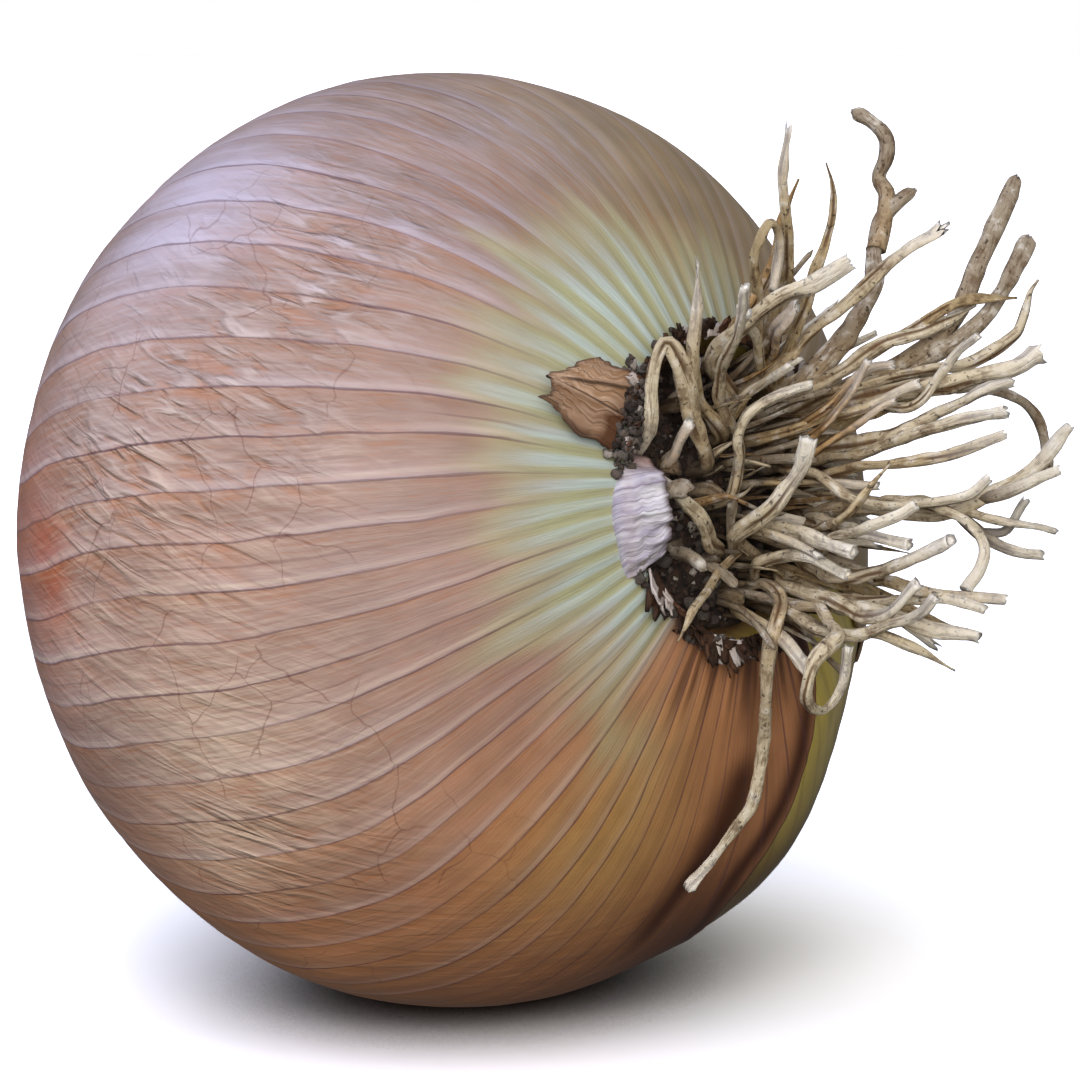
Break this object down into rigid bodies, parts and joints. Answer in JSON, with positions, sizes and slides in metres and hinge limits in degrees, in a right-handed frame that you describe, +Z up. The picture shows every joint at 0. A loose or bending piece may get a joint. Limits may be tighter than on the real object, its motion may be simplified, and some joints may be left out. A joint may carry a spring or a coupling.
{
  "type": "onion",
  "caption": "Whole brown onion bulb lying on its side, with papery ribbed outer skin, a dried neck stub and a spreading tuft of dry roots.",
  "frame": {"origin": "middle of the small flat spot that the bulb rests on", "axes": "+X to the root end, +Z up, +Y to the far side; the bulb's axis rises 10.4 degrees towards the root end"},
  "size_m": [0.1009, 0.0802, 0.0782],
  "materials": {
    "papery_skin": "dry papery skin, satin, tan-pink with thin purple-brown veins",
    "inner_scale": "smooth olive-yellow scale, satin, browner at the dried neck",
    "dried_root": "dry and matte, pale cream to tan, with dark soil on the plate",
    "torn_brown_scale": "dry, folded, matte brown",
    "torn_pale_scale": "dry, matte, pinkish white with fine cross veins"
  },
  "bodies": {
    "root": {"bulb": "inner_scale", "outer_skin": "papery_skin", "root_tuft": "dried_root", "brown_scale_flap": "torn_brown_scale", "pale_scale_flap": "torn_pale_scale"}
  },
  "joints": []
}
